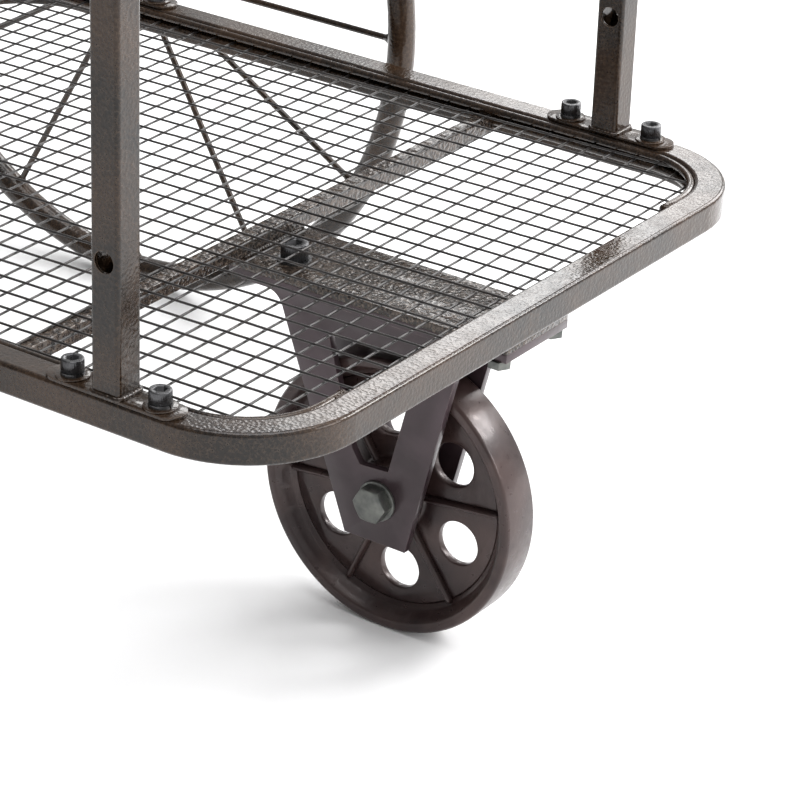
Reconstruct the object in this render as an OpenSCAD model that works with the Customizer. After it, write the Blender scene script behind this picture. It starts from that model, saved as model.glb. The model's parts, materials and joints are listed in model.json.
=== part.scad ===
// Three-wheeled bar cart: two mesh trays in bent square tube, four bolted
// uprights, two large spoked wheels at the rear and one rigid caster in front.
// X runs along the cart (+X is the caster end), Y across it, Z up.
// The origin is on the ground, under the middle of the whole cart. The modules
// below place their pieces from the middle of the trays, at x = tray_x.

/* [Trays] */
// Length of a tray over its tube frame
frame_l = 488; // [460:1:700]
// Width of a tray over its tube frame
frame_w = 400; // [360:1:520]
// Outer radius of a tray's corners
corner_r = 57; // [50:1:75]
// Side of the square tube
tube = 15; // [14:0.5:20]
// Wall of the square tube
tube_wall = 1.5; // [1.2:0.1:2]
// Edge radius of the square tube
tube_edge_r = 2; // [1.6:0.1:2.5]
// Height of the lower tray's top face above the ground
lower_top = 189; // [182:0.5:200]
// Height of the upper tray's top face above the ground
upper_top = 760; // [600:5:850]

/* [Wire mesh] */
// Spacing of the cross wires along the cart
pitch_x = 12.6; // [10:0.1:20]
// Spacing of the long wires across the cart
pitch_y = 13.05; // [10:0.05:20]
// Diameter of a mesh wire
wire_d = 1.4; // [1:0.1:2]
// Angle of the long wires to the frame: the mesh is welded in slightly askew
long_skew = 1.9; // [0:0.1:3]
// Angle of the cross wires to the frame
cross_skew = 1.2; // [0:0.1:3]
// Place of the wire crossing nearest to the tray's centre
mesh_shift = [-5.3, -10];
// Depth of the mesh below the tray's top face
mesh_drop = 4.5; // [4:0.1:6]
// Diameter of the rods above and below the mesh
rod_d = 4; // [3:0.1:5]
// Distance of a retainer rod's ends from the middle line of the cart
retainer_end = 130; // [100:1:135]

/* [Uprights] */
// Distance of an upright from the middle of the cart
upright_x = 157; // [120:1:170]
// Height of a cross hole above or below the nearer tray
hole_rise = 62; // [40:1:90]
// Diameter of the cross holes
hole_d = 10; // [6:0.5:11]
// Thickness of a foot flange
flange_t = 1.5; // [1.5:0.1:3]
// Distance of a flange screw from the upright
flange_screw_x = 23.5; // [20:0.5:25]
// Half length of a flange, over its round ends
flange_reach = 36; // [33:0.5:38]

/* [Caster] */
// Distance of the caster's axle from the middle of the cart
caster_x = 168.3; // [160:0.1:172]
// Radius of the caster wheel
caster_r = 70; // [66:0.5:72]
// Width of the caster wheel's tread
caster_tread = 22; // [18:1:22]
// Diameter of the holes in the caster wheel's web
web_hole_d = 22; // [16:1:24]
// Radius of the circle through those holes
web_hole_r = 40; // [36:1:42]

/* [Spoked wheels] */
// Distance of the rear axle behind the middle of the cart
axle_x = 178; // [150:1:200]
// Outer radius of a spoked wheel, and height of its axle
big_r = 189.5; // [187:0.5:191]
// Diameter of the rim's tube
rim_d = 15; // [12:0.5:18]
// Length of the hub
hub_l = 44; // [30:1:60]
// Diameter of the hub
hub_d = 34; // [28:1:44]
// Number of spokes in a wheel
spokes = 12; // [8:2:16]
// Diameter of a spoke
spoke_d = 3.5; // [3:0.1:5]

/* [Push handle] */
// Distance of a handle leg from the middle of the cart
handle_y = 95; // [80:1:100]
// Diameter of the handle's tube
handle_d = 15; // [12:0.5:15]
// Angle that the handle leans back from the vertical
handle_lean = 55; // [30:1:70]

/* [Hidden] */
$fn = 48;

steel = [0.33, 0.30, 0.28];
mesh_steel = [0.24, 0.22, 0.22];
plum = [0.37, 0.31, 0.32];
screw_black = [0.28, 0.28, 0.29];
bolt_grey = [0.45, 0.46, 0.44];
bronze = [0.68, 0.53, 0.32];

tray_x = (axle_x + big_r - frame_l / 2) / 2;
rail_x = frame_l / 2 - tube / 2;
rail_y = frame_w / 2 - tube / 2;
lower_bottom = lower_top - tube;
upper_bottom = upper_top - tube;
upright_foot = lower_top + flange_t;
upright_head = upper_bottom - flange_t;

// M6 flange screw with its spring washer and flat washer
m6 = 6;
m6_head_d = 10;
m6_head_h = 6;
m6_spring_t = 1.4;
m6_flat_t = 0.8;
m6_flat_d = 15;
rivet_d = 9;
rivet_l = 9;

// Caster: a plate on the frame, and a fork with two sides, a top plate and a
// band along the top of each side that runs into its V with a round corner
plate_t = 4;
plate_front = frame_l / 2 - 3;
plate_rear = 86;
plate_w = 50;
mount_bottom = lower_bottom - plate_t;
fork_top = mount_bottom - plate_t;
fork_band = 6;
band_front = frame_l / 2 - 20;
fork_side_in = 12;
fork_side_t = 4;
fork_bottom = lower_top - 141.5;
fork_fillet_r = 10;
fork_foot = [149.8, 184.5];
fork_slope = [-0.373, 0.247];
caster_z = caster_r;
m8 = 8;
m10 = 10;
m10_across = 16;
m10_washer_t = 1.6;
bore_clearance = 0.05;
bush_d = 14;
caster_hub_l = 21.4;
cap_screw = [111, -7.9];
hex_bolt = [frame_l / 2 - 9, 21.2];
crossbar_x = 88;
crossbar_w = 8;
crossbar_h = 9;

// Rear axles
bracket_t = 5;
bracket_l = 50;
pin_d = 12;
hub_bush_d = 16;
hub_in = frame_w / 2 + bracket_t + 1.5;
hub_y = hub_in + hub_l / 2;
hub_out = hub_in + hub_l;
axle_washer_t = 2;
axle_nut_h = 8;

// ---------------------------------------------------------------- profiles

// Square with round edges, drawn from plain shapes so that it stays exact
module round_square(w, h, r) {
    square([w, h - 2 * r], center = true);
    square([w - 2 * r, h], center = true);
    for (x = [-1, 1], y = [-1, 1])
        translate([x * (w / 2 - r), y * (h / 2 - r)])
            circle(r);
}

module tube_profile() {
    inner = tube - 2 * tube_wall;
    difference() {
        round_square(tube, tube, tube_edge_r);
        round_square(inner, inner, tube_edge_r - tube_wall + 0.4);
    }
}

// Flange outline: as wide as the tube that it sits on, with round ends
module flange_outline() {
    centre = flange_reach - tube / 2;
    square([2 * centre, tube], center = true);
    for (e = [-1, 1])
        translate([e * centre, 0])
            circle(d = tube);
}

// Bar with its round corners, bent round a tray: a 2D profile follows the loop
// of half sizes hx and hy whose corners have the radius r
module loop(hx, hy, r) {
    for (s = [-1, 1]) {
        translate([-(hx - r), s * hy, 0])
            rotate([90, 0, 90])
                linear_extrude(2 * (hx - r))
                    children();
        translate([s * hx, hy - r, 0])
            rotate([90, 0, 0])
                linear_extrude(2 * (hy - r))
                    children();
    }
    for (a = [0, 90, 180, 270])
        corner(hx, hy, r, a, 90)
            children();
}

// One bend of that loop, at the corner that starts at angle a
module corner(hx, hy, r, a, sweep) {
    sx = a == 0 || a == 270 ? 1 : -1;
    sy = a == 0 || a == 90 ? 1 : -1;
    translate([sx * (hx - r), sy * (hy - r), 0])
        rotate(a)
            rotate_extrude(angle = sweep, $fn = 96)
                translate([r, 0])
                    children();
}

// ------------------------------------------------------------------- trays

module frame(top, from_below) {
    upright_wall = from_below ? -tube / 2 : tube / 2;
    color(steel)
        translate([0, 0, top - tube / 2])
            difference() {
                loop(rail_x, rail_y, corner_r - tube / 2)
                    tube_profile();
                for (sx = [-1, 1], sy = [-1, 1], f = [-1, 1])
                    translate([sx * upright_x + f * flange_screw_x, sy * rail_y, upright_wall])
                        rivet_hole();
                if (from_below)
                    handle_screw_places(tube / 2)
                        rivet_hole();
                else
                    for (s = [-1, 1])
                        translate([hex_bolt[0], s * hex_bolt[1], -tube / 2])
                            rivet_hole();
            }
}

module rivet_hole() {
    cylinder(d = rivet_d, h = 3 * tube_wall, center = true);
}

rod_x = rail_x - tube / 2 - rod_d / 2;
rod_y = rail_y - tube / 2 - rod_d / 2;
rod_corner = corner_r - tube - rod_d / 2;

// Rod under the mesh, welded all round the inside of the frame
module support_rod(top) {
    color(steel)
        translate([0, 0, top - mesh_drop - wire_d - rod_d / 2])
            loop(rod_x, rod_y, rod_corner)
                circle(d = rod_d);
}

// Two rods over the mesh, along the sides and just past the corners
module retainer_rods(top) {
    tail = rod_y - rod_corner - retainer_end;
    color(steel)
        translate([0, 0, top - rod_d / 2 - 0.4])
            for (s = [-1, 1]) {
                translate([-(rod_x - rod_corner), s * rod_y, 0])
                    rotate([0, 90, 0])
                        cylinder(d = rod_d, h = 2 * (rod_x - rod_corner));
                for (e = [-1, 1]) {
                    a = s > 0 ? (e > 0 ? 0 : 90) : (e > 0 ? 270 : 180);
                    corner(rod_x, rod_y, rod_corner, a, 90)
                        circle(d = rod_d);
                    translate([e * rod_x, s * (rod_y - rod_corner), 0])
                        rotate([s * 90, 0, 0])
                            cylinder(d = rod_d, h = tail);
                }
            }
}

// How far a wire runs from the point p along the unit vector u before it meets
// the loop of half sizes hx and hy with corner radius r
function run_to_box(p, u, hx, hy) = min(
    abs(u[0]) < 1e-6 ? 1e6 : (sign(u[0]) * hx - p[0]) / u[0],
    abs(u[1]) < 1e-6 ? 1e6 : (sign(u[1]) * hy - p[1]) / u[1]);
function run_to_circle(p, u, c, r) =
    let (d = p - c, b = d * u, k = d * d - r * r, q = b * b - k)
    q < 0 ? -1 : -b + sqrt(q);
function run(p, u, hx, hy, r) =
    let (t = run_to_box(p, u, hx, hy), e = p + t * u,
         c = [sign(e[0]) * (hx - r), sign(e[1]) * (hy - r)])
    abs(e[0]) > hx - r && abs(e[1]) > hy - r ? run_to_circle(p, u, c, r) : t;

// One layer of the mesh: parallel wires in direction u, spaced by step
module wires(u, step, half_n, z) {
    for (i = [-half_n : half_n]) {
        p = mesh_shift + i * step;
        fore = run(p, u, rod_x, rod_y, rod_corner);
        aft = run(p, -u, rod_x, rod_y, rod_corner);
        if (fore > 0 && aft > 0 && abs(p * [-u[1], u[0]]) < (abs(u[0]) > 0.7 ? rod_y : rod_x) - 3)
            translate([p[0] - aft * u[0], p[1] - aft * u[1], z])
                rotate([0, 90, atan2(u[1], u[0])])
                    cylinder(d = wire_d, h = fore + aft, $fn = 16);
    }
}

long_u = [cos(long_skew), sin(long_skew)];
cross_u = [-sin(cross_skew), cos(cross_skew)];

module long_wires(top) {
    color(mesh_steel)
        wires(long_u, pitch_y * cross_u, ceil(frame_w / 2 / pitch_y) + 1,
              top - mesh_drop + wire_d / 2 + 0.02);
}

module cross_wires(top) {
    color(mesh_steel)
        wires(cross_u, pitch_x * long_u, ceil(frame_l / 2 / pitch_x) + 1, top - mesh_drop - wire_d / 2);
}

// ---------------------------------------------------------------- uprights

module flange() {
    color(steel)
        linear_extrude(flange_t)
            difference() {
                flange_outline();
                for (f = [-1, 1])
                    translate([f * flange_screw_x, 0])
                        circle(d = m6 + 0.6);
            }
}

// The four flanges welded to the uprights' ends on one level
module flanges(z) {
    for (sx = [-1, 1], sy = [-1, 1])
        translate([sx * upright_x, sy * rail_y, z])
            flange();
}

// Square tube with a cross hole near each end
module upright(sx, sy) {
    color(steel)
        translate([sx * upright_x, sy * rail_y, 0])
            difference() {
                translate([0, 0, upright_foot])
                    linear_extrude(upright_head - upright_foot)
                        tube_profile();
                for (z = [lower_top + hole_rise, upper_bottom - hole_rise])
                    translate([0, 0, z])
                        rotate([90, 0, 0])
                            cylinder(d = hole_d, h = 2 * tube, center = true);
            }
}

// --------------------------------------------------------------- fasteners

// Socket head cap screw, head up, its head resting on z = 0
module cap_screw_solid(d, head_d, head_h, socket, grip) {
    difference() {
        union() {
            cylinder(d = head_d, h = head_h - 0.6);
            translate([0, 0, head_h - 0.6])
                cylinder(d1 = head_d, d2 = head_d - 1.2, h = 0.6);
            translate([0, 0, -grip])
                cylinder(d = d, h = grip + 1);
        }
        translate([0, 0, head_h / 2])
            cylinder(d = socket / cos(30), h = head_h, $fn = 6);
    }
}

module ring(od, id, t) {
    linear_extrude(t)
        difference() {
            circle(d = od);
            circle(d = id);
        }
}

// Split spring washer
module spring_washer(d, t) {
    difference() {
        ring(1.75 * d, d + 0.4, t);
        translate([d / 2, 0, t / 2])
            rotate([25, 0, 0])
                cube([d, 0.8, 3 * t], center = true);
    }
}

module hex(af, h) {
    cylinder(d = af / cos(30), h = h, $fn = 6);
}

// The eight flange screws of a tray; children point up from the flange's face
module lower_places(z) {
    for (sx = [-1, 1], sy = [-1, 1], f = [-1, 1])
        translate([sx * upright_x + f * flange_screw_x, sy * rail_y, upright_foot + z])
            children();
}

module upper_places(z) {
    for (sx = [-1, 1], sy = [-1, 1], f = [-1, 1])
        translate([sx * upright_x + f * flange_screw_x, sy * rail_y, upright_head - z])
            mirror([0, 0, 1])
                children();
}

module handle_screw_places(z) {
    for (sy = [-1, 1], f = [-1, 1])
        translate([-rail_x, sy * handle_y + f * flange_screw_x, z])
            children();
}

module m6_screw() {
    color(screw_black)
        cap_screw_solid(m6, m6_head_d, m6_head_h, 5, m6_head_z + flange_t + rivet_l - 1);
}

// Threaded insert pressed into a tube's wall, its mouth flush at z = 0
module rivet_nut() {
    color(bolt_grey)
        translate([0, 0, -rivet_l])
            rotate_extrude()
                polygon([[m6 / 2, 0], [rivet_d / 2, 0], [rivet_d / 2, 3], [rivet_d / 2 + 1.2, 4.5],
                    [rivet_d / 2 + 1.2, 6.5], [rivet_d / 2, 7], [rivet_d / 2, rivet_l], [m6 / 2, rivet_l]]);
}

module lower_rivet_nuts() {
    lower_places(-flange_t)
        rivet_nut();
    for (s = [-1, 1])
        translate([hex_bolt[0], s * hex_bolt[1], lower_bottom])
            mirror([0, 0, 1])
                rivet_nut();
}

module upper_rivet_nuts() {
    upper_places(-flange_t)
        rivet_nut();
    handle_screw_places(upper_top)
        rivet_nut();
}

module m6_spring() {
    color(screw_black)
        spring_washer(m6, m6_spring_t);
}

module m6_flat() {
    color(steel)
        ring(m6_flat_d, m6 + 0.4, m6_flat_t);
}

m6_spring_z = m6_flat_t;
m6_head_z = m6_flat_t + m6_spring_t;

// ------------------------------------------------------------------ caster

module crossbar() {
    color(steel)
        translate([crossbar_x, 0, lower_bottom + crossbar_h / 2])
            rotate([90, 0, 0])
                linear_extrude(frame_w - 2 * tube, center = true)
                    round_square(crossbar_w, crossbar_h, 1);
}

module plate_holes(h) {
    for (s = [-1, 1])
        translate([hex_bolt[0], s * hex_bolt[1], -1])
            cylinder(d = m6 + 0.4, h = h);
}

module caster_mount_plate() {
    color(steel)
        translate([0, 0, mount_bottom])
            difference() {
                translate([plate_rear, -plate_w / 2, 0])
                    cube([plate_front - plate_rear, plate_w, plate_t]);
                plate_holes(plate_t + 2);
                translate([cap_screw[0], cap_screw[1], -1])
                    cylinder(d = m8 + 0.6, h = plate_t + 2);
            }
}

// Round corner from an edge of the V, upwards, to the band along the top
function fork_fillet(foot, slope) =
    let (side = sign(slope), r = fork_fillet_r, z = fork_top - fork_band - r, start = atan(abs(slope)),
         c = [foot + slope * (z - fork_bottom) + side * r / cos(start), z])
    [for (k = [0 : 5]) let (a = start + k * (90 - start) / 5) c + r * [-side * cos(a), sin(a)]];

// Side of the fork in the XZ plane: a lopsided V under the band, with a window,
// and the axle hole near its point
module fork_side_outline() {
    band_z = fork_top - fork_band;
    front = fork_fillet(fork_foot[1], fork_slope[1]);
    difference() {
        polygon(concat([[fork_foot[0], fork_bottom]], fork_fillet(fork_foot[0], fork_slope[0]),
            [[plate_rear, band_z], [plate_rear, fork_top], [band_front, fork_top], [band_front, band_z]],
            [for (k = [5 : -1 : 0]) front[k]], [[fork_foot[1], fork_bottom]]));
        translate([0, fork_bottom])
            polygon([[137, 100.5], [189, 100.5], [173.5, 39], [157.5, 38], [152.8, 45]]);
        translate([caster_x, caster_z])
            circle(d = m10 + 0.3);
    }
}

module caster_fork() {
    color(plum)
        difference() {
            union() {
                translate([plate_rear, -plate_w / 2, fork_top])
                    cube([plate_front - plate_rear, plate_w, plate_t]);
                for (s = [-1, 1])
                    translate([0, s * (fork_side_in + fork_side_t / 2), 0])
                        rotate([90, 0, 0])
                            linear_extrude(fork_side_t, center = true)
                                fork_side_outline();
            }
            translate([0, 0, fork_top])
                plate_holes(plate_t + 2);
            translate([cap_screw[0], cap_screw[1], fork_top - fork_band - 1])
                cylinder(d = m8, h = fork_band + plate_t + 2);
        }
}

// The wheel is one casting, drawn as a rim, a disc and ribs; rim and disc meet at web_r
web_r = caster_r - 12;
web_t = 4.4;

module caster_wheel_rim() {
    half_t = caster_tread / 2;
    color(plum)
        at_caster_axle()
            rotate_extrude($fn = 128)
                polygon([[web_r, -web_t / 2], [web_r + 2.5, -3.6], [caster_r - 5.3, -half_t],
                    [caster_r - 1, -half_t], [caster_r, -half_t + 1], [caster_r, half_t - 1],
                    [caster_r - 1, half_t], [caster_r - 5.3, half_t], [web_r + 2.5, 3.6],
                    [web_r, web_t / 2]]);
}

// Hub and thin web with six holes
module caster_wheel_disc() {
    hub_half = caster_hub_l / 2;
    color(plum)
        at_caster_axle()
            difference() {
                rotate_extrude($fn = 128)
                    polygon([[bush_d / 2, -hub_half], [15.5, -hub_half], [17, -3.2], [18.5, -web_t / 2],
                        [web_r, -web_t / 2], [web_r, web_t / 2], [18.5, web_t / 2], [17, 3.2],
                        [15.5, hub_half], [bush_d / 2, hub_half]]);
                for (k = [0 : 5])
                    rotate(-24 + 60 * k)
                        translate([web_hole_r, 0, 0])
                            cylinder(d = web_hole_d, h = caster_tread, center = true);
            }
}

// Six ribs on each face of the web, from the hub to the inside of the rim
module caster_wheel_ribs() {
    rib_start = 15.5;
    rib_w = 3.6;
    rib_h = 3.3;
    color(plum)
        at_caster_axle()
            for (m = [0, 1])
                mirror([0, 0, m])
                    for (k = [0 : 5])
                        rotate(6 + 60 * k)
                            translate([rib_start, -rib_w / 2, web_t / 2])
                                cube([web_r + 3 - rib_start, rib_w, rib_h]);
}

module at_caster_axle() {
    translate([caster_x, 0, caster_z])
        rotate([90, 0, 0])
            children();
}

module caster_bush() {
    color(bronze)
        at_caster_axle()
            translate([0, 0, -caster_hub_l / 2])
                ring(bush_d, m10 + 2 * bore_clearance, caster_hub_l);
}

module caster_spacers() {
    color(bolt_grey)
        at_caster_axle()
            for (m = [0, 1])
                mirror([0, 0, m])
                    translate([0, 0, fork_side_in - 1])
                        ring(20, m10 + 0.2, 1);
}

fork_out = fork_side_in + fork_side_t;
axle_seat = fork_out + m10_washer_t;

// Hexagon bolt whose head has chamfered corners
module caster_axle_bolt() {
    head_h = 6.4;
    color(bolt_grey)
        at_caster_axle() {
            translate([0, 0, axle_seat])
                intersection() {
                    hex(m10_across, head_h);
                    union() {
                        cylinder(d = 1.25 * m10_across, h = head_h - 1);
                        translate([0, 0, head_h - 1])
                            cylinder(d1 = 1.25 * m10_across, d2 = 0.96 * m10_across, h = 1);
                    }
                }
            translate([0, 0, -axle_seat - 11])
                cylinder(d = m10, h = 2 * axle_seat + 12);
        }
}

module caster_axle_washers() {
    color(bolt_grey)
        at_caster_axle()
            for (m = [0, 1])
                mirror([0, 0, m])
                    translate([0, 0, fork_out])
                        ring(20, m10 + 0.2, m10_washer_t);
}

module caster_axle_nut() {
    nut_h = 8;
    color(bolt_grey)
        at_caster_axle()
            translate([0, 0, -axle_seat - nut_h])
                difference() {
                    hex(m10_across, nut_h);
                    translate([0, 0, -1])
                        cylinder(d = m10, h = nut_h + 2);
                }
}

module caster_cap_screw() {
    color(screw_black)
        translate([cap_screw[0], cap_screw[1], lower_bottom + 0.8])
            cap_screw_solid(m8, 13, 8, 6, 12);
}

module caster_screw_washer() {
    color(screw_black)
        translate([cap_screw[0], cap_screw[1], lower_bottom])
            ring(16, m8 + 0.4, 0.8);
}

module caster_hex_bolts() {
    color(bolt_grey)
        for (s = [-1, 1])
            translate([hex_bolt[0], s * hex_bolt[1], fork_top - 4]) {
                hex(10, 4);
                cylinder(d = m6, h = 4 + 2 * plate_t + rivet_l - 1);
            }
}

// ----------------------------------------------------------- spoked wheels

// The wheels' own frame: axle along Z, at the origin, pointing outwards
module at_axle(side) {
    translate([-axle_x, 0, big_r])
        rotate([-side * 90, 0, 0])
            children();
}

module axle_bracket(side) {
    color(steel) {
        translate([-axle_x, side * (frame_w + bracket_t) / 2, (lower_bottom + big_r + 18) / 2])
            rotate([90, 0, 0])
                linear_extrude(bracket_t, center = true)
                    round_square(bracket_l, big_r + 18 - lower_bottom, 5);
        at_axle(side) {
            translate([0, 0, frame_w / 2 + bracket_t - 1])
                cylinder(d = pin_d, h = hub_out + axle_washer_t + axle_nut_h - frame_w / 2 - bracket_t + 4);
            translate([0, 0, frame_w / 2 + bracket_t - 1])
                cylinder(d = 22, h = 2.2);
        }
    }
}

module rim(side) {
    color(steel)
        at_axle(side)
            translate([0, 0, hub_y])
                rotate_extrude($fn = 180)
                    translate([big_r - rim_d / 2, 0])
                        circle(d = rim_d, $fn = 32);
}

module spoke_set(side) {
    color(steel)
        at_axle(side)
            translate([0, 0, hub_y])
                for (k = [0 : spokes - 1])
                    rotate([0, 90, 360 / spokes * k])
                        translate([0, 0, hub_d / 2 - 2])
                            cylinder(d = spoke_d, h = big_r - rim_d - hub_d / 2 + 4, $fn = 24);
}

module hub(side) {
    color(steel)
        at_axle(side)
            translate([0, 0, hub_in])
                rotate_extrude()
                    difference() {
                        polygon([[0, 0], [12, 0], [12, 3], [hub_d / 2 - 2, 5], [hub_d / 2, 8],
                            [hub_d / 2, hub_l - 8], [hub_d / 2 - 2, hub_l - 5], [12, hub_l - 3],
                            [12, hub_l], [0, hub_l]]);
                        translate([0, -1])
                            square([hub_bush_d / 2, hub_l + 2]);
                    }
}

module hub_bush(side) {
    color(bronze)
        at_axle(side)
            translate([0, 0, hub_in])
                ring(hub_bush_d, pin_d + 2 * bore_clearance, hub_l);
}

module axle_washers() {
    color(bolt_grey)
        for (side = [-1, 1])
            at_axle(side)
                translate([0, 0, hub_out + 0.3])
                    ring(24, pin_d + 0.3, axle_washer_t - 0.3);
}

module axle_nuts() {
    color(bolt_grey)
        for (side = [-1, 1])
            at_axle(side)
                translate([0, 0, hub_out + axle_washer_t])
                    difference() {
                        hex(19, axle_nut_h);
                        translate([0, 0, -1])
                            cylinder(d = pin_d, h = axle_nut_h + 2);
                    }
}

// ------------------------------------------------------------- push handle

// One half of the handle: a leg rises, leans back and turns in to the grip
module handle_half() {
    rise = 45;
    lean_r = 40;
    reach = 35;
    turn_r = 40;
    translate([-rail_x, handle_y, upper_top + flange_t]) {
        cylinder(d = handle_d, h = rise);
        translate([-lean_r, 0, rise]) {
            rotate([90, 0, 0])
                rotate_extrude(angle = handle_lean, $fn = 96)
                    translate([lean_r, 0])
                        circle(d = handle_d);
            rotate([0, -handle_lean, 0])
                translate([lean_r, 0, 0]) {
                    cylinder(d = handle_d, h = reach);
                    translate([0, -turn_r, reach])
                        rotate([90, 0, 90])
                            rotate_extrude(angle = 90, $fn = 96)
                                translate([turn_r, 0])
                                    circle(d = handle_d);
                    translate([0, -turn_r, reach + turn_r])
                        rotate([90, 0, 0])
                            cylinder(d = handle_d, h = handle_y - turn_r);
                }
        }
    }
}

module push_handle() {
    color(steel)
        for (m = [0, 1])
            mirror([0, m, 0])
                handle_half();
}

module handle_flanges() {
    for (s = [-1, 1])
        translate([-rail_x, s * handle_y, upper_top])
            rotate(90)
                flange();
}

// -------------------------------------------------------------------- parts

module handle_screws() {
    handle_screw_places(upper_top + flange_t + m6_head_z)
        m6_screw();
}

module handle_spring_washers() {
    handle_screw_places(upper_top + flange_t + m6_spring_z)
        m6_spring();
}

module handle_flat_washers() {
    handle_screw_places(upper_top + flange_t)
        m6_flat();
}

module from_trays() {
    translate([tray_x, 0, 0])
        children();
}

from_trays() frame(lower_top, false);  // lower_frame
from_trays() long_wires(lower_top);  // lower_long_wires
from_trays() cross_wires(lower_top);  // lower_cross_wires
from_trays() support_rod(lower_top);  // lower_support_rod
from_trays() retainer_rods(lower_top);  // lower_retainer_rods
from_trays() frame(upper_top, true);  // upper_frame
from_trays() long_wires(upper_top);  // upper_long_wires
from_trays() cross_wires(upper_top);  // upper_cross_wires
from_trays() support_rod(upper_top);  // upper_support_rod
from_trays() retainer_rods(upper_top);  // upper_retainer_rods
from_trays() upright(1, 1);  // upright_front_left
from_trays() upright(1, -1);  // upright_front_right
from_trays() upright(-1, 1);  // upright_rear_left
from_trays() upright(-1, -1);  // upright_rear_right
from_trays() flanges(lower_top);  // lower_flanges
from_trays() lower_places(m6_head_z) m6_screw();  // lower_flange_screws
from_trays() lower_places(m6_spring_z) m6_spring();  // lower_spring_washers
from_trays() lower_places(0) m6_flat();  // lower_flat_washers
from_trays() lower_rivet_nuts();
from_trays() flanges(upright_head);  // upper_flanges
from_trays() upper_places(m6_head_z) m6_screw();  // upper_flange_screws
from_trays() upper_places(m6_spring_z) m6_spring();  // upper_spring_washers
from_trays() upper_places(0) m6_flat();  // upper_flat_washers
from_trays() upper_rivet_nuts();
from_trays() crossbar();
from_trays() caster_mount_plate();
from_trays() caster_fork();
from_trays() caster_wheel_rim();
from_trays() caster_wheel_disc();
from_trays() caster_wheel_ribs();
from_trays() caster_bush();
from_trays() caster_spacers();
from_trays() caster_axle_bolt();
from_trays() caster_axle_washers();
from_trays() caster_axle_nut();
from_trays() caster_cap_screw();
from_trays() caster_screw_washer();
from_trays() caster_hex_bolts();
from_trays() axle_bracket(1);  // axle_bracket_left
from_trays() axle_bracket(-1);  // axle_bracket_right
from_trays() rim(1);  // rim_left
from_trays() rim(-1);  // rim_right
from_trays() spoke_set(1);  // spokes_left
from_trays() spoke_set(-1);  // spokes_right
from_trays() hub(1);  // hub_left
from_trays() hub(-1);  // hub_right
from_trays() hub_bush(1);  // hub_bush_left
from_trays() hub_bush(-1);  // hub_bush_right
from_trays() axle_washers();
from_trays() axle_nuts();
from_trays() push_handle();
from_trays() handle_flanges();
from_trays() handle_screws();
from_trays() handle_spring_washers();
from_trays() handle_flat_washers();
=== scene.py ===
"""Looks of the bar cart: materials, welds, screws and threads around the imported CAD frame, in metres."""

import json
import math
import random

import bmesh
import bpy
from mathutils import Matrix, Vector


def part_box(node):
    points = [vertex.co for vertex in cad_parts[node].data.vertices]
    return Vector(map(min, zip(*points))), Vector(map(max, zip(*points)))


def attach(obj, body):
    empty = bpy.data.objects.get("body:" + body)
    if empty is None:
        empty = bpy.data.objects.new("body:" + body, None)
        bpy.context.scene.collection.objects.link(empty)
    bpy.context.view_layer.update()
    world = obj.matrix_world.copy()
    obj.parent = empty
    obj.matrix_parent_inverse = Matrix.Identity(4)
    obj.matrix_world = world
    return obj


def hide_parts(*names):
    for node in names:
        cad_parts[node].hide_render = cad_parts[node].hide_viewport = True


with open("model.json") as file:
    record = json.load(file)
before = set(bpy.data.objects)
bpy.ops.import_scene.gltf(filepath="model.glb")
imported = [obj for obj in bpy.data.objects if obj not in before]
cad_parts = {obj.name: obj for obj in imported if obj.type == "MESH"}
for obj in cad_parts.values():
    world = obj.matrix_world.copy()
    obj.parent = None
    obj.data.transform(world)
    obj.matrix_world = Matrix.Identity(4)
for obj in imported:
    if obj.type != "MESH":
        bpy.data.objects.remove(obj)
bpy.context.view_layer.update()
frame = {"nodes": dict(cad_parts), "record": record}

MM = 0.001
SAME_POINT = 0.002 * MM
CART = "cart"
SIDES = ("left", "right")
X_AXIS, Y_AXIS, Z_AXIS = Vector((1, 0, 0)), Vector((0, 1, 0)), Vector((0, 0, 1))


# ------------------------------------------------------------------ camera

CAMERA_PLACE = (1.0181, -1.1537, 0.8027)
AZIMUTH, ELEVATION, ROLL = 34.351, 26.168, 2.174
LENS, SENSOR = 150.74, 36.0


def make_camera():
    """A long lens that looks down on the caster's end of the lower tray."""
    data = bpy.data.cameras.new("camera")
    data.lens = LENS
    data.sensor_width = SENSOR
    data.clip_end = 50
    camera = bpy.data.objects.new("camera", data)
    turn = Matrix.Rotation(math.radians(AZIMUTH), 4, "Z")
    tilt = Matrix.Rotation(math.radians(90 - ELEVATION), 4, "X")
    roll = Matrix.Rotation(math.radians(ROLL), 4, "Z")
    camera.matrix_world = Matrix.Translation(CAMERA_PLACE) @ turn @ tilt @ roll
    bpy.context.collection.objects.link(camera)
    bpy.context.scene.camera = camera


# --------------------------------------------------------------- materials

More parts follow.
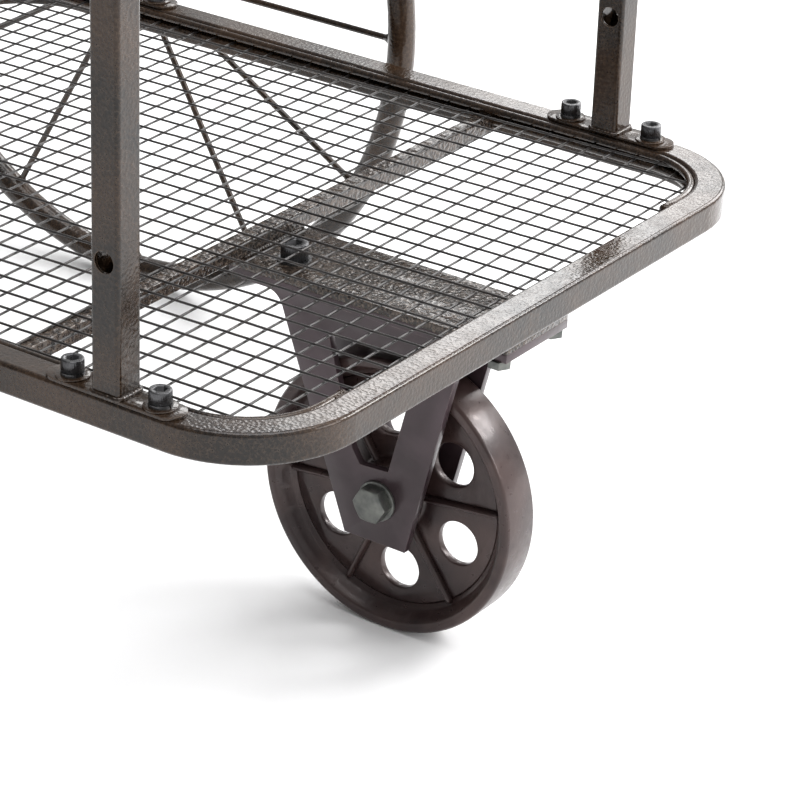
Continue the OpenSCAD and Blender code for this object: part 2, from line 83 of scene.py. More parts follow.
class Nodes:
    """Short names for building one material's node tree."""

    def __init__(self, name):
        self.material = bpy.data.materials.new(name)
        self.material.use_nodes = True
        self.tree = self.material.node_tree
        self.shader = self.tree.nodes["Principled BSDF"]
        self.place = self.add("ShaderNodeTexCoord").outputs["Object"]

    def add(self, kind, **settings):
        node = self.tree.nodes.new(kind)
        for key, value in settings.items():
            setattr(node, key, value)
        return node

    def link(self, out, socket):
        self.tree.links.new(out, socket)

    def noise(self, scale, detail=3.0, distortion=0.0):
        node = self.add("ShaderNodeTexNoise")
        node.inputs["Scale"].default_value = scale
        node.inputs["Detail"].default_value = detail
        node.inputs["Distortion"].default_value = distortion
        self.link(self.place, node.inputs["Vector"])
        return node.outputs["Fac"]

    def warped_place(self, scale, amount):
        """The object's coordinates, pushed about by a noise."""
        node = self.add("ShaderNodeTexNoise")
        node.inputs["Scale"].default_value = scale
        self.link(self.place, node.inputs["Vector"])
        push = self.add("ShaderNodeVectorMath", operation="MULTIPLY_ADD")
        push.inputs[1].default_value = (amount,) * 3
        self.link(node.outputs["Color"], push.inputs[0])
        self.link(self.place, push.inputs[2])
        return push.outputs["Vector"]

    def cells(self, scale, warp):
        """Round dimples of uneven size, as in hammered paint."""
        node = self.add("ShaderNodeTexVoronoi", feature="SMOOTH_F1")
        node.inputs["Scale"].default_value = scale
        node.inputs["Smoothness"].default_value = 0.6
        self.link(self.warped_place(scale * 0.6, warp), node.inputs["Vector"])
        return node.outputs["Distance"]

    def span(self, value, low, high, to_low, to_high):
        node = self.add("ShaderNodeMapRange")
        for socket, number in zip(("From Min", "From Max", "To Min", "To Max"), (low, high, to_low, to_high)):
            node.inputs[socket].default_value = number
        self.link(value, node.inputs["Value"])
        return node.outputs["Result"]

    def blend(self, mask, first, second):
        node = self.add("ShaderNodeMix", data_type="RGBA")
        self.link(mask, node.inputs[0])
        for socket, colour in ((node.inputs[6], first), (node.inputs[7], second)):
            if isinstance(colour, tuple):
                socket.default_value = (*colour, 1.0)
            else:
                self.link(colour, socket)
        return node.outputs[2]

    def edges(self, radius, low, high):
        """A mask that is 1 on sharp edges and 0 on open faces."""
        bevel = self.add("ShaderNodeBevel", samples=4)
        bevel.inputs["Radius"].default_value = radius
        flat = self.add("ShaderNodeNewGeometry")
        dot = self.add("ShaderNodeVectorMath", operation="DOT_PRODUCT")
        self.link(bevel.outputs["Normal"], dot.inputs[0])
        self.link(flat.outputs["Normal"], dot.inputs[1])
        return self.span(dot.outputs["Value"], high, low, 0.0, 1.0)

    def times(self, first, second):
        node = self.add("ShaderNodeMath", operation="MULTIPLY")
        self.link(first, node.inputs[0])
        self.link(second, node.inputs[1])
        return node.outputs[0]

    def bump(self, height, distance, strength=1.0, below=None):
        node = self.add("ShaderNodeBump")
        node.inputs["Distance"].default_value = distance
        node.inputs["Strength"].default_value = strength
        self.link(height, node.inputs["Height"])
        if below is not None:
            self.link(below, node.inputs["Normal"])
        return node.outputs["Normal"]

    def finish(self, colour, roughness, normal, metallic, coat=0.0, coat_roughness=0.1):
        self.link(colour, self.shader.inputs["Base Color"])
        self.link(roughness, self.shader.inputs["Roughness"])
        self.link(normal, self.shader.inputs["Normal"])
        self.shader.inputs["Metallic"].default_value = metallic
        self.shader.inputs["Coat Weight"].default_value = coat
        self.shader.inputs["Coat Roughness"].default_value = coat_roughness
        return self.material


def hammered(name, dark, light, glint, cell, depth, sparkle=0.12):
    """Glossy hammered paint: dark brown with coppery mottling, dimpled, with painted glints in its dimples,
    and its edges lightened partly as rubbed wear and partly as painted highlight.
    """
    n = Nodes(name)
    dimples = n.cells(1 / cell, 0.6 * cell)
    colour = n.blend(n.span(n.noise(24, 5, 0.3), 0.38, 0.66, 0, 1), dark, light)
    # Painted highlight: bright glints in the dimples, mixed toward the glint colour
    glints = n.times(n.span(dimples, 0.3, 0.62, 0, sparkle), n.span(n.noise(1300, 2), 0.35, 0.7, 0, 1))
    colour = n.blend(glints, colour, glint)
    # Sharp edges lightened toward the glint colour: partly rubbed wear, partly a painted highlight along the
    # edges
    rubbed_and_highlit = n.times(n.edges(0.6 * MM, 0.75, 0.97), n.span(n.noise(90, 5), 0.42, 0.62, 0, 0.5))
    colour = n.blend(rubbed_and_highlit, colour, glint)
    roughness = n.span(n.noise(120, 4), 0.3, 0.7, 0.13, 0.27)
    normal = n.bump(n.noise(620, 2), 0.06 * MM, 0.7)
    normal = n.bump(dimples, depth, 1.0, below=normal)
    n.shader.inputs["IOR"].default_value = 1.42
    return n.finish(colour, roughness, normal, 0.15, coat=0.2, coat_roughness=0.07)


def smooth_paint(name, dark, light, worn_and_highlit, grain, depth, rough=(0.36, 0.5), metallic=0.3):
    """Thin satin paint over cast or pressed steel: faint pits, and edges lightened partly as worn paint and
    partly as painted highlight.
    """
    n = Nodes(name)
    patches = n.noise(30, 5, 0.4)
    colour = n.blend(n.span(patches, 0.35, 0.68, 0, 1), dark, light)
    # Sharp edges lightened toward the edge colour: partly worn paint, partly a painted highlight along the
    # edges
    rubbed_and_highlit = n.times(n.edges(0.9 * MM, 0.7, 0.97), n.span(n.noise(140, 5), 0.45, 0.62, 0, 0.7))
    colour = n.blend(rubbed_and_highlit, colour, worn_and_highlit)
    roughness = n.span(n.noise(240, 5), 0.3, 0.7, *rough)
    normal = n.bump(n.noise(1 / grain, 4), depth, 0.7)
    return n.finish(colour, roughness, normal, metallic, coat=0.2, coat_roughness=0.16)


def bare_metal(name, dark, light, edge, rough=(0.3, 0.5)):
    """Blackened or zinc-grey steel and bronze: fine turning marks, and bright edges, partly rubbed wear and
    partly painted highlight.
    """
    n = Nodes(name)
    colour = n.blend(n.span(n.noise(180, 5), 0.3, 0.7, 0, 1), dark, light)
    # Bright edges: partly rubbed wear, partly a painted highlight along the sharp edges
    rubbed_and_highlit = n.times(n.edges(0.4 * MM, 0.7, 0.96), n.span(n.noise(300, 4), 0.35, 0.6, 0.1, 0.9))
    colour = n.blend(rubbed_and_highlit, colour, edge)
    roughness = n.span(n.noise(700, 4), 0.3, 0.7, *rough)
    normal = n.bump(n.noise(2600, 3), 0.03 * MM, 0.6)
    return n.finish(colour, roughness, normal, 0.85)


MATERIALS = {
    "hammered_steel": hammered("hammered_steel", (0.006, 0.004, 0.003), (0.032, 0.017, 0.009),
                               (0.3, 0.2, 0.13), 1.7 * MM, 0.13 * MM),
    "mesh_wire": smooth_paint("mesh_wire", (0.008, 0.0065, 0.0065), (0.02, 0.016, 0.0155),
                              (0.3, 0.26, 0.22), 1.1 * MM, 0.1 * MM, rough=(0.34, 0.5), metallic=0.1),
    "plum_cast": smooth_paint("plum_cast", (0.022, 0.011, 0.011), (0.064, 0.038, 0.034),
                              (0.32, 0.22, 0.19), 1.8 * MM, 0.08 * MM, rough=(0.26, 0.4)),
    "plum_plate": smooth_paint("plum_plate", (0.03, 0.018, 0.021), (0.062, 0.041, 0.048),
                               (0.3, 0.22, 0.2), 2.5 * MM, 0.04 * MM, rough=(0.28, 0.4)),
    "screw_black": bare_metal("screw_black", (0.05, 0.05, 0.052), (0.12, 0.12, 0.125), (0.35, 0.34, 0.33),
                              rough=(0.22, 0.38)),
    "bolt_grey": bare_metal("bolt_grey", (0.1, 0.105, 0.1), (0.19, 0.195, 0.18), (0.5, 0.5, 0.47)),
    "bronze": bare_metal("bronze", (0.4, 0.24, 0.1), (0.6, 0.4, 0.2), (0.8, 0.6, 0.38), rough=(0.2, 0.4)),
}
MATERIALS["rough_plate"] = hammered("rough_plate", (0.009, 0.0065, 0.0055), (0.028, 0.02, 0.016),
                                    (0.42, 0.32, 0.25), 2.0 * MM, 0.5 * MM, sparkle=0.3)
NODE_FINISH = {"caster_mount_plate": "rough_plate", "crossbar": "rough_plate"}

SLOTS = {part["node"]: part["material_slot"] for part in frame["record"]["subparts"]}
BODY_OF = {node: body for body, nodes in frame["record"]["behaviour"]["bodies"].items() for node in nodes}


def finish_of(node):
    """The material of a CAD node: that of its record slot, or a rougher one of its own."""
    return MATERIALS[NODE_FINISH.get(node, SLOTS[node])]


def paint_frame():
    """Gives every CAD node its finish."""
    for name, obj in frame["nodes"].items():
        for holder in obj.material_slots:
            holder.material = finish_of(name)


# ------------------------------------------------------------- mesh pieces

def add_piece(name, verts, faces, body, slot):
    mesh = bpy.data.meshes.new(name)
    mesh.from_pydata([tuple(v) for v in verts], [], faces)
    mesh.update()
    for face in mesh.polygons:
        face.use_smooth = True
    mesh.materials.append(MATERIALS[slot])
    piece = bpy.data.objects.new(name, mesh)
    bpy.context.collection.objects.link(piece)
    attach(piece, body)
    return piece


class Shapes:
    """Vertices and faces of many closed shapes, gathered for one piece."""

    def __init__(self):
        self.verts = []
        self.faces = []

    def rings(self, rings, closed=False):
        """Skins a row of point rings, and caps its ends unless it is closed."""
        size = len(rings[0])
        base = len(self.verts)
        for ring in rings:
            self.verts.extend(ring)
        count = len(rings)
        for i in range(count if closed else count - 1):
            here, there = base + i * size, base + (i + 1) % count * size
            for j in range(size):
                k = (j + 1) % size
                self.faces.append((here + j, here + k, there + k, there + j))
        if not closed:
            self.faces.append(tuple(base + j for j in reversed(range(size))))
            self.faces.append(tuple(base + (count - 1) * size + j for j in range(size)))

    def lathe(self, place, profile, sides):
        """Turns (radius, height) points about the z axis of the matrix place."""
        angles = [2 * math.pi * j / sides for j in range(sides)]
        self.rings([[place @ Vector((radius * math.cos(a), radius * math.sin(a), height)) for a in angles]
                    for radius, height in profile])

    def bead(self, points, radius, draw, closed=False, sides=10, ripple=0.16):
        """A weld bead along the points: overlapping ripples of uneven size."""
        count = len(points)
        rings = []
        for i, point in enumerate(points):
            before = points[i - 1] if i or closed else point
            after = points[(i + 1) % count] if i < count - 1 or closed else point
            along = (after - before).normalized()
            across = along.cross(Vector((0.31, 0.17, 0.93))).normalized()
            third = along.cross(across)
            wave = 1 + ripple * math.sin(i * 2 * math.pi / 4) + draw.uniform(-0.08, 0.08)
            end = 1.0
            if not closed:
                end = math.sqrt(max(0.06, 1 - abs(2 * i / (count - 1) - 1) ** 6))
            r = radius * wave * end
            rings.append([point + r * (math.cos(2 * math.pi * j / sides) * across
                                       + math.sin(2 * math.pi * j / sides) * third)
                          for j in range(sides)])
        self.rings(rings, closed)

    def piece(self, name, body, slot):
        return add_piece(name, self.verts, self.faces, body, slot)


WELD_STEP = 0.45 * MM


def straight(start, end):
    """Evenly spaced points of a straight line."""
    start, end = Vector(start), Vector(end)
    count = max(4, int((end - start).length / WELD_STEP))
    return [start.lerp(end, i / count) for i in range(count + 1)]


def round_rectangle(centre, half_x, half_y, corner):
    """Evenly spaced points of a rectangle with round corners, in a level plane."""
    points = []
    corners = ((1, 1, 0), (-1, 1, 90), (-1, -1, 180), (1, -1, 270))
    for index, (sx, sy, start) in enumerate(corners):
        middle = Vector((centre[0] + sx * (half_x - corner), centre[1] + sy * (half_y - corner), centre[2]))
        arc_count = max(3, int(math.pi / 2 * corner / WELD_STEP))
        for i in range(arc_count):
            angle = math.radians(start + 90 * i / arc_count)
            points.append(middle + corner * Vector((math.cos(angle), math.sin(angle), 0)))
        nx, ny, _ = corners[(index + 1) % 4]
        after = Vector((centre[0] + nx * (half_x - corner), centre[1] + ny * (half_y - corner), centre[2]))
        angle = math.radians(start + 90)
        offset = corner * Vector((math.cos(angle), math.sin(angle), 0))
        points.extend(straight(middle + offset, after + offset)[:-1])
    return points


def circle(centre, radius, first, second):
    """Evenly spaced points of a circle spanned by two unit vectors."""
    count = max(12, int(2 * math.pi * radius / WELD_STEP))
    angles = [2 * math.pi * i / count for i in range(count)]
    return [centre + radius * (math.cos(a) * first + math.sin(a) * second) for a in angles]


def box_middle(node):
    low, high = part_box(node)
    return Vector([(low[i] + high[i]) / 2 for i in range(3)])


# -------------------------------------------- softened and wavy CAD shapes

# Width of the rounding on each node's sharp edges, in millimetres
SOFTENED = {
    "caster_fork": 0.5, "caster_wheel_rim": 0.7, "caster_wheel_disc": 0.7, "caster_mount_plate": 0.5,
    "lower_flanges": 0.3, "upper_flanges": 0.3, "handle_flanges": 0.3, "caster_axle_bolt": 0.25,
    "caster_axle_nut": 0.25, "caster_axle_washers": 0.2, "caster_hex_bolts": 0.25, "axle_nuts": 0.3,
    "axle_washers": 0.2, "axle_bracket_left": 0.6, "axle_bracket_right": 0.6,
    "hub_left": 0.5, "hub_right": 0.5,
    "lower_flat_washers": 0.15, "upper_flat_washers": 0.15, "handle_flat_washers": 0.15,
}
# Edges flatter than the first angle are dissolved, and those sharper than the second are rounded.
# Shading breaks at those sharper than the third.
FLAT_ANGLE, SHARP_ANGLE, SHADE_ANGLE = math.radians(0.6), math.radians(30), math.radians(38)


def joined_mesh(mesh):
    """A bmesh of a CAD mesh, with the points that lie on each other joined."""
    work = bmesh.new()
    work.from_mesh(mesh)
    bmesh.ops.remove_doubles(work, verts=work.verts, dist=SAME_POINT)
    return work


def soften(node, width):
    """A copy of a CAD node whose sharp edges are rounded, in place of the node."""
    mesh = frame["nodes"][node].data.copy()
    work = joined_mesh(mesh)
    bmesh.ops.dissolve_limit(work, angle_limit=FLAT_ANGLE, verts=work.verts, edges=work.edges)
    sharp = [edge for edge in work.edges
             if len(edge.link_faces) == 2 and edge.calc_face_angle(0) > SHARP_ANGLE]
    bmesh.ops.bevel(work, geom=sharp, offset=width * MM, offset_type="OFFSET", segments=2, profile=0.5,
                    affect="EDGES", clamp_overlap=True)
    for face in work.faces:
        face.smooth = True
    work.to_mesh(mesh)
    work.free()
    mesh.set_sharp_from_angle(angle=SHADE_ANGLE)
    mesh.materials.clear()
    mesh.materials.append(finish_of(node))
    piece = bpy.data.objects.new(f"{node}_soft", mesh)
    bpy.context.collection.objects.link(piece)
    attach(piece, BODY_OF[node])
    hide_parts(node)


def wire_ends(node):
    """The two end centres of each straight wire in a CAD node."""
    work = joined_mesh(frame["nodes"][node].data)
    seen = set()
    ends = []
    for vert in work.verts:
        if vert in seen:
            continue
        island, stack = [], [vert]
        seen.add(vert)
        while stack:
            here = stack.pop()
            island.append(here.co.copy())
            for edge in here.link_edges:
                other = edge.other_vert(here)
                if other not in seen:
                    seen.add(other)
                    stack.append(other)
        middle = sum(island, Vector()) / len(island)
        way = max(island, key=lambda co: (co - middle).length) - middle
        near = [co for co in island if (co - middle).dot(way) < 0]
        far = [co for co in island if (co - middle).dot(way) >= 0]
        ends.append((sum(near, Vector()) / len(near), sum(far, Vector()) / len(far)))
    work.free()
    return sorted(ends, key=lambda pair: (round(pair[0].x, 4), round(pair[0].y, 4)))


WIRE_R = 0.6 * MM


def wavy_wires(level, kind, seed):
    """Wires drawn a little crooked, as in real welded mesh, in place of the straight ones."""
    node = f"{level}_{kind}_wires"
    draw = random.Random(seed)
    shapes = Shapes()
    angles = [2 * math.pi * j / 8 for j in range(8)]
    for start, end in wire_ends(node):
        length = (end - start).length
        across = (end - start).normalized().cross(Z_AXIS)
        count = max(6, int(length / (6 * MM)))
        phase, swing = draw.uniform(0, 6.28), draw.uniform(0.1, 0.4) * MM
        rings = []
        for i in range(count + 1):
            t = i / count
            drift = math.sin(math.pi * t) * swing * math.sin(phase + 5 * t) + draw.uniform(-0.09, 0.09) * MM
            centre = start.lerp(end, t) + drift * across + draw.uniform(-0.03, 0.03) * MM * Z_AXIS
            rings.append([centre + WIRE_R * (math.cos(a) * across + math.sin(a) * Z_AXIS) for a in angles])
        shapes.rings(rings)
    piece = shapes.piece(f"{level}_{kind}_mesh_wires", CART, "mesh_wire")
    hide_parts(node)


# ------------------------------------------------------------------- welds

UPRIGHTS = [f"upright_{end}_{side}" for end in ("front", "rear") for side in SIDES]
BEAD = 1.5 * MM


def upright_welds():
    """A smooth bead round the head and the foot of each upright."""
    draw = random.Random(4)
    shapes = Shapes()
    tube_edge_r, in_from_end = 2.4 * MM, 0.5 * MM
    for name in UPRIGHTS:
        low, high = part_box(name)
        x, y = (low[0] + high[0]) / 2, (low[1] + high[1]) / 2
        half = (high[0] - low[0]) / 2 + 0.3 * MM
        for z in (low[2] + in_from_end, high[2] - in_from_end):
            seam = round_rectangle((x, y, z), half, half, tube_edge_r)
            shapes.bead(seam, 1.2 * MM, draw, closed=True, ripple=0.05)
    shapes.piece("upright_welds", CART, "hammered_steel")


def handle_welds():
    """A bead round each leg of the push handle, on its flange."""
    draw = random.Random(5)
    shapes = Shapes()
    outer_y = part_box("push_handle")[1][1]
    tube_r = 7.5 * MM
    x = box_middle("handle_flanges").x
    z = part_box("handle_flanges")[1][2] + 0.4 * MM
    for side in (-1, 1):
        ring = circle(Vector((x, side * (outer_y - tube_r), z)), tube_r + 0.4 * MM, X_AXIS, Y_AXIS)
        shapes.bead(ring, BEAD, draw, closed=True)
    shapes.piece("handle_welds", CART, "hammered_steel")


def tray_welds(level):
    """Tacks that hold the rods to the frame, and the blobs at the retainer rods' ends."""
    draw = random.Random(6)
    shapes = Shapes()
    low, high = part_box(f"{level}_retainer_rods")
    rod = 2 * MM
    z = high[2] - 1.6 * MM
    middle = (low[0] + high[0]) / 2
    inner_x, inner_y = (high[0] - low[0]) / 2, high[1]
    end_y = 130 * MM
    tack_gap = 82 * MM
    for sx in (-1, 1):
        for sy in (-1, 1):
            start = (middle + sx * (inner_x - 0.2 * MM), sy * (end_y - 2 * MM), z)
            shapes.bead(straight(start, (start[0], sy * (end_y + 7 * MM), z)), 1.5 * MM, draw, ripple=0.2)
            rod_x = middle + sx * (inner_x - rod)
            shapes.bead(straight((rod_x, sy * (end_y - 1.6 * MM), z - 0.6 * MM),
                                 (rod_x, sy * (end_y + 1.2 * MM), z - 0.6 * MM)), 2.2 * MM, draw)
    for sy in (-1, 1):
        for i in range(-2, 3):
            x = middle + i * tack_gap + draw.uniform(-4, 4) * MM
            length = draw.uniform(5, 8) * MM
            tack = straight((x, sy * inner_y, z), (x + length, sy * inner_y, z))
            shapes.bead(tack, 1.3 * MM, draw, ripple=0.2)
    shapes.piece(f"{level}_tray_welds", CART, "hammered_steel")


def crossbar_welds():
    """Beads at the crossbar's ends, and round the caster's mounting plate."""
    draw = random.Random(7)
    shapes = Shapes()
    low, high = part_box("crossbar")
    proud = 0.3 * MM
    frame_tube = 15 * MM
    for side, y in ((-1, low[1]), (1, high[1])):
        y -= side * proud
        for x in (low[0] - proud, high[0] + proud):
            shapes.bead(straight((x, y, low[2] + 1 * MM), (x, y, high[2])), 1.4 * MM, draw)
        shapes.bead(straight((low[0], y, high[2]), (high[0], y, high[2])), 1.2 * MM, draw)
    plate_low, plate_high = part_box("caster_mount_plate")
    tube_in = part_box("lower_frame")[1][0] - frame_tube
    edge_z = plate_high[2] - 0.4 * MM
    for y in (plate_low[1], plate_high[1]):
        for start_x, end_x in ((plate_low[0], high[0]), (tube_in, plate_high[0])):
            shapes.bead(straight((start_x, y, edge_z), (end_x, y, edge_z)), 1.4 * MM, draw)
    x, z = high[0] + 0.4 * MM, plate_high[2] + 0.3 * MM
    shapes.bead(straight((x, plate_low[1] + 3 * MM, z), (x, plate_high[1] - 3 * MM, z)), BEAD, draw)
    shapes.piece("crossbar_welds", CART, "hammered_steel")


def bracket_welds():
    """Beads along each axle bracket, above and below, and round the foot of its stub axle."""
    draw = random.Random(8)
    shapes = Shapes()
    tray_low, tray_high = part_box("lower_frame")
    inset = 4 * MM
    hub_r, bracket_face, stub_foot_r = 17 * MM, 5.3 * MM, 11.2 * MM
    for side in SIDES:
        sign = 1 if side == "left" else -1
        low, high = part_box(f"axle_bracket_{side}")
        y = sign * (tray_high[1] - 0.3 * MM)
        for z in (tray_high[2] - 0.4 * MM, tray_low[2] + 0.4 * MM):
            shapes.bead(straight((low[0] + inset, y, z), (high[0] - inset, y, z)), 1.6 * MM, draw)
        hub_middle_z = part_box(f"hub_{side}")[0][2] + hub_r
        centre = Vector(((low[0] + high[0]) / 2, sign * (tray_high[1] + bracket_face), hub_middle_z))
        shapes.bead(circle(centre, stub_foot_r, X_AXIS, Z_AXIS), 1.2 * MM, draw, closed=True)
    shapes.piece("bracket_welds", CART, "hammered_steel")


# ------------------------------------------------------------ spoked wheels

SPOKES = 12


def spoke_welds(side):
    """A small collar where each spoke meets the rim, and another at the hub."""
    draw = random.Random(9)
    shapes = Shapes()
    low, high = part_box(f"rim_{side}")
    centre = box_middle(f"rim_{side}")
    rim_in = (high[0] - low[0]) / 2 - (high[1] - low[1])
    hub_low, hub_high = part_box(f"hub_{side}")
    hub_r = (hub_high[0] - hub_low[0]) / 2
    wire = 1.75 * MM
    for k in range(SPOKES):
        angle = 2 * math.pi * k / SPOKES
        out = Vector((math.cos(angle), 0, math.sin(angle)))
        turn = out.to_track_quat("Z", "Y").to_matrix().to_4x4()
        for start, way in ((rim_in + 1.2 * MM, -1), (hub_r - 0.8 * MM, 1)):
            place = Matrix.Translation(centre + start * out) @ turn
            grow = draw.uniform(0.9, 1.15)
            profile = [(2.2 * wire * grow, 0), (1.9 * wire * grow, way * 1.2 * MM),
                       (1.45 * wire, way * 2.6 * MM), (1.1 * wire, way * 4.2 * MM),
                       (0.9 * wire, way * 4.6 * MM)]
            shapes.lathe(place, profile if way > 0 else profile[::-1], 14)
    shapes.piece(f"spoke_welds_{side}", f"{side}_wheel_body", "hammered_steel")


# ------------------------------------------------------------ caster wheel

def caster_ribs():
    """Round-backed ribs with blunt ends, cast on both faces of the caster wheel's web."""
    shapes = Shapes()
    centre = box_middle("caster_wheel_ribs")
    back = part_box("caster_wheel_ribs")[1][1] - centre.y
    foot = back - 3.5 * MM
    half = 1.8 * MM
    start, end = 15.5 * MM, 60.5 * MM
    blunt = 3 * MM
    ribs, first_angle, steps = 6, 6, 40
    arc = [(math.cos(math.pi * j / 10), math.sin(math.pi * j / 10)) for j in range(11)]
    for k in range(ribs):
        angle = math.radians(first_angle + 360 / ribs * k)
        out = Vector((math.cos(angle), 0, math.sin(angle)))
        beside = Vector((-math.sin(angle), 0, math.cos(angle)))
        for side in (-1, 1):
            rings = []
            for i in range(steps + 1):
                r = start + (end - start) * i / steps
                tip = max(0.0, (r - end + blunt) / blunt)
                size = max(0.12, math.sqrt(1 - tip * tip))
                rings.append([centre + r * out + size * half * c * beside
                              + side * (foot + size * (back - foot) * s) * Y_AXIS for c, s in arc])
            shapes.rings(rings)
    piece = shapes.piece("caster_wheel_cast_ribs", "caster_wheel_body", "plum_cast")
    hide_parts("caster_wheel_ribs")


# --------------------------------------------------------------- fasteners

KNURLS = 30


def cap_head(shapes, place, radius, height, socket):
    """Socket head with a knurled side, a round shoulder, and a hexagon socket with a floor."""
    sides = 4 * KNURLS
    angles = [2 * math.pi * j / sides for j in range(sides)]
    edge = 0.5 * MM

    def ring(radius_at, z):
        return [place @ Vector((radius_at(a) * math.cos(a), radius_at(a) * math.sin(a), z)) for a in angles]

    profile = [(radius - edge, 0), (radius, 0.4 * edge), (radius, height - 1.6 * edge)]
    profile += [(radius - edge + edge * math.cos(a), height - edge + edge * math.sin(a))
                for a in (0.0, 0.5, 1.0, math.pi / 2)]
    rings = []
    for index, (r, z) in enumerate(profile):
        ripple = 0.012 if index in (1, 2) else 0.0
        rings.append(ring(lambda a: r * (1 + ripple * math.cos(KNURLS * a)), z))
    sixth = math.pi / 6
    for across, z in ((socket + 0.5 * MM, height), (socket, height - 0.35 * MM), (socket, height * 0.42)):
        rings.append(ring(lambda a: across / 2 / math.cos((a + sixth) % (2 * sixth) - sixth), z))
    rings.append(ring(lambda a: 0.3 * socket, height * 0.34))
    shapes.rings(rings)


def shank(shapes, place, radius, length):
    shapes.lathe(place, [(radius, -length), (radius, 0.2 * MM)], 20)


# Head width, head height, key size, shank width and shank length of the two kinds of screw
M6_SCREW = (10 * MM, 6 * MM, 5 * MM, 6 * MM, 13.4 * MM)
M8_SCREW = (13 * MM, 8 * MM, 6 * MM, 8 * MM, 11.9 * MM)


def screws(name, node, places, kind):
    """Detailed socket screws in place of the plain CAD ones."""
    head_d, head_h, socket, shank_d, length = kind
    shapes = Shapes()
    draw = random.Random(12)
    for place in places:
        spin = Matrix.Rotation(draw.uniform(0, math.pi / 3), 4, "Z")
        cap_head(shapes, place @ spin, head_d / 2, head_h, socket)
        shank(shapes, place, shank_d / 2, length)
    piece = shapes.piece(name, CART, "screw_black")
    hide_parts(node)


def flange_screws():
    """Two screws a flange, head up on the lower tray and the handle, head down on the upper tray.
    The large screw of the caster's plate is here too."""
    head_h = M6_SCREW[1]
    reach = 23.5 * MM
    flip = Matrix.Rotation(math.pi, 4, "X")
    for level in ("lower", "upper"):
        low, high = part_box(f"{level}_flange_screws")
        z = high[2] - head_h if level == "lower" else low[2] + head_h
        places = []
        for name in UPRIGHTS:
            middle = box_middle(name)
            for f in (-1, 1):
                place = Matrix.Translation((middle.x + f * reach, middle.y, z))
                places.append(place if level == "lower" else place @ flip)
        screws(f"{level}_screws", f"{level}_flange_screws", places, M6_SCREW)
    x = box_middle("handle_screws").x
    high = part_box("handle_screws")[1]
    outer = high[1] - M6_SCREW[0] / 2
    places = [Matrix.Translation((x, side * y, high[2] - head_h))
              for side in (-1, 1) for y in (outer, outer - 2 * reach)]
    screws("handle_socket_screws", "handle_screws", places, M6_SCREW)
    middle = box_middle("caster_cap_screw")
    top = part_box("caster_cap_screw")[1][2]
    place = Matrix.Translation((middle.x, middle.y, top - M8_SCREW[1]))
    screws("caster_plate_screw", "caster_cap_screw", [place], M8_SCREW)


def thread(name, centre, out, radius, start, end, pitch):
    """The visible end of a thread: ridges on a sleeve just proud of the shaft."""
    shapes = Shapes()
    place = Matrix.Translation(centre) @ Vector(out).to_track_quat("Z", "Y").to_matrix().to_4x4()
    valley, ridge = radius - 0.3 * MM, radius + 0.05 * MM
    profile = [(radius * 0.9, start)]
    z = start
    while z + pitch < end:
        profile += [(valley, z), (ridge, z + 0.42 * pitch), (ridge, z + 0.58 * pitch)]
        z += pitch
    profile += [(valley, z), (radius - 0.9 * MM, end + 0.15 * MM)]
    shapes.lathe(place, profile, 40)
    shapes.piece(name, CART, "bolt_grey")


def threads():
    """Threads on the caster's axle bolt and on both stub axles, from inside each nut to the end."""
    nut = box_middle("caster_axle_nut")
    centre = Vector((nut.x, 0, nut.z))
    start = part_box("caster_axle_nut")[1][1] - 1 * MM
    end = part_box("caster_axle_bolt")[1][1]
    thread("caster_axle_thread", centre, Y_AXIS, 5 * MM, start, end, 1.5 * MM)
    nuts = box_middle("axle_nuts")
    centre = Vector((nuts.x, 0, nuts.z))
    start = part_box("axle_nuts")[1][1] - 1 * MM
    for side in SIDES:
        pin_low, pin_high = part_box(f"axle_bracket_{side}")
        out, end = (Y_AXIS, pin_high[1]) if side == "left" else (-Y_AXIS, -pin_low[1])
        thread(f"axle_thread_{side}", centre, out, 6 * MM, start, end, 1.75 * MM)


# ------------------------------------------------------------------- stage

def area_light(name, place, target, size, power):
    data = bpy.data.lights.new(name, "AREA")
    data.shape = "DISK"
    data.size = size
    data.energy = power
    light = bpy.data.objects.new(name, data)
    light.location = place
    light.rotation_euler = (Vector(target) - Vector(place)).to_track_quat("-Z", "Y").to_euler()
    bpy.context.collection.objects.link(light)


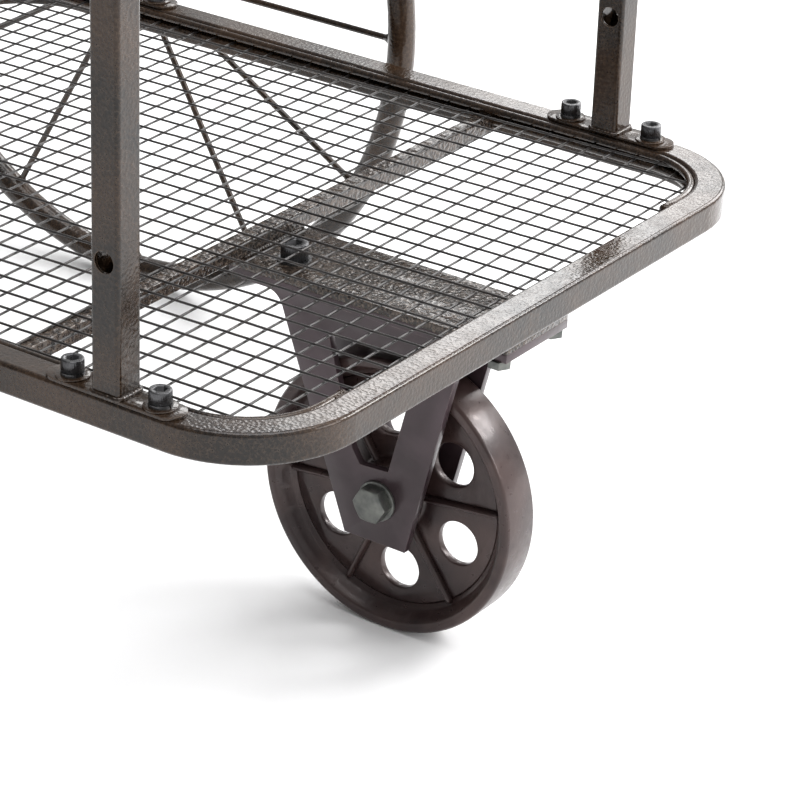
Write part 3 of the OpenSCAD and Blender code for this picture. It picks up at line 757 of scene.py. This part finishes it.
def make_stage():
    """A pale floor, soft light from above, and lights that show in the gloss of the rails."""
    n = Nodes("floor")
    colour = n.blend(n.span(n.noise(1.5, 2), 0.3, 0.7, 0, 1), (0.9, 0.9, 0.905), (0.93, 0.93, 0.935))
    n.finish(colour, n.span(n.noise(60, 3), 0.3, 0.7, 0.55, 0.65), n.bump(n.noise(400, 2), 0.02 * MM), 0.0)
    reach = 12.0
    corners = [(sx * reach, sy * reach, 0) for sx, sy in ((-1, -1), (1, -1), (1, 1), (-1, 1))]
    mesh = bpy.data.meshes.new("floor")
    mesh.from_pydata(corners, [], [(0, 1, 2, 3)])
    mesh.materials.append(n.material)
    floor = bpy.data.objects.new("floor", mesh)
    bpy.context.collection.objects.link(floor)

    make_world()
    middle = (0, 0, 0.3)
    area_light("top_light", (0.3, 0.1, 2.8), middle, 2.4, 56)
    area_light("side_light", (2.4, 0.7, 1.2), middle, 1.0, 16)
    area_light("back_light", (0.4, 2.6, 1.5), (0.25, 0.2, 0.1), 1.5, 42)
    area_light("rail_light", (-1.1, 2.3, 1.5), (0.3, 0.0, 0.19), 0.75, 8)
    area_light("floor_light", (1.3, 1.4, 1.3), (0.95, 0.95, 0), 0.8, 28)


def make_world():
    """A white studio that is brighter behind the cart and on its caster side than on the near side."""
    world = bpy.data.worlds.new("studio")
    world.use_nodes = True
    tree = world.node_tree
    background = tree.nodes["Background"]
    place = tree.nodes.new("ShaderNodeTexCoord")
    dot = tree.nodes.new("ShaderNodeVectorMath")
    dot.operation = "DOT_PRODUCT"
    dot.inputs[1].default_value = Vector((0.75, 0.62, 0.2)).normalized()
    span = tree.nodes.new("ShaderNodeMapRange")
    span.interpolation_type = "SMOOTHSTEP"
    for socket, number in zip(("From Min", "From Max", "To Min", "To Max"), (-0.8, 0.5, 0.24, 1.0)):
        span.inputs[socket].default_value = number
    tree.links.new(place.outputs["Generated"], dot.inputs[0])
    tree.links.new(dot.outputs["Value"], span.inputs["Value"])
    tree.links.new(span.outputs["Result"], background.inputs["Strength"])
    background.inputs["Color"].default_value = (1.0, 1.0, 1.0, 1.0)
    bpy.context.scene.world = world
    bpy.context.scene.view_settings.view_transform = "Standard"


make_camera()
make_stage()
paint_frame()
for soft_node, soft_width in SOFTENED.items():
    soften(soft_node, soft_width)
for wire_seed, (tray, layer) in enumerate((t, k) for t in ("lower", "upper") for k in ("long", "cross")):
    wavy_wires(tray, layer, 20 + wire_seed)
upright_welds()
handle_welds()
tray_welds("lower")
tray_welds("upper")
crossbar_welds()
bracket_welds()
for wheel_side in SIDES:
    spoke_welds(wheel_side)
caster_ribs()
flange_screws()
threads()
